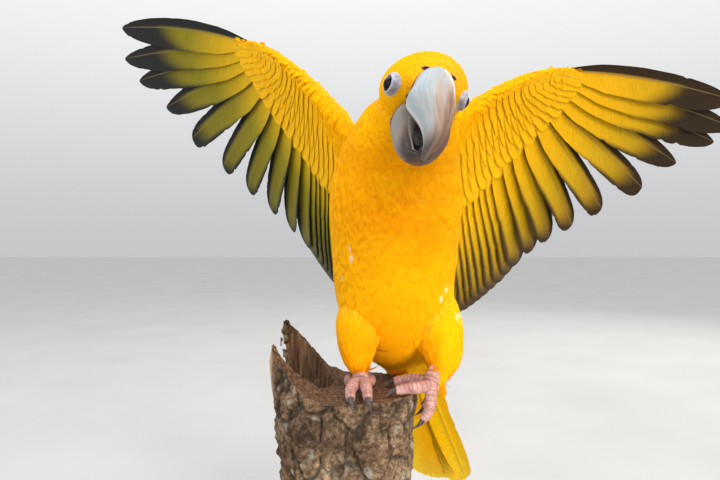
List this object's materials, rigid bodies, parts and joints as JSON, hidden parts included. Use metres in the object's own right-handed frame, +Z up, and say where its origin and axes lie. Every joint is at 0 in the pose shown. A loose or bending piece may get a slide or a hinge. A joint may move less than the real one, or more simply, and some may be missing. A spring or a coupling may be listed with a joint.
{
  "type": "golden conure",
  "caption": "Life-size golden conure with raised, spread wings, gripping a short cut length of broken hollow branch on a round display stand.",
  "frame": {"origin": "centre of the stand base's underside", "axes": "+Z up, +X to the bird's left along the wing span, +Y behind the bird; its head faces -Y"},
  "size_m": [0.4742, 0.2697, 0.3655],
  "materials": {
    "plumage": "soft matt feathers",
    "wing_feathers": "smooth satin vanes",
    "tail_feathers": "smooth satin vanes",
    "bill_horn": "semi-gloss horn",
    "tongue": "damp skin",
    "eye": "wet gloss",
    "foot_skin": "scaly skin",
    "bark": "rough weathered bark",
    "base_wood": "dark satin varnish",
    "steel": "brushed"
  },
  "bodies": {
    "root": {"torso": "plumage", "neck": "plumage", "head": "plumage", "thigh_right": "plumage", "thigh_left": "plumage", "wing_right": "wing_feathers", "wing_left": "wing_feathers", "tail": "tail_feathers", "bill_upper": "bill_horn", "bill_lower": "bill_horn", "tongue": "tongue", "eye_right": "eye", "eye_left": "eye", "foot_right": "foot_skin", "foot_left": "foot_skin", "perch": "bark", "stand_base": "base_wood", "stand_rod_a": "steel", "stand_rod_b": "steel"}
  },
  "joints": []
}
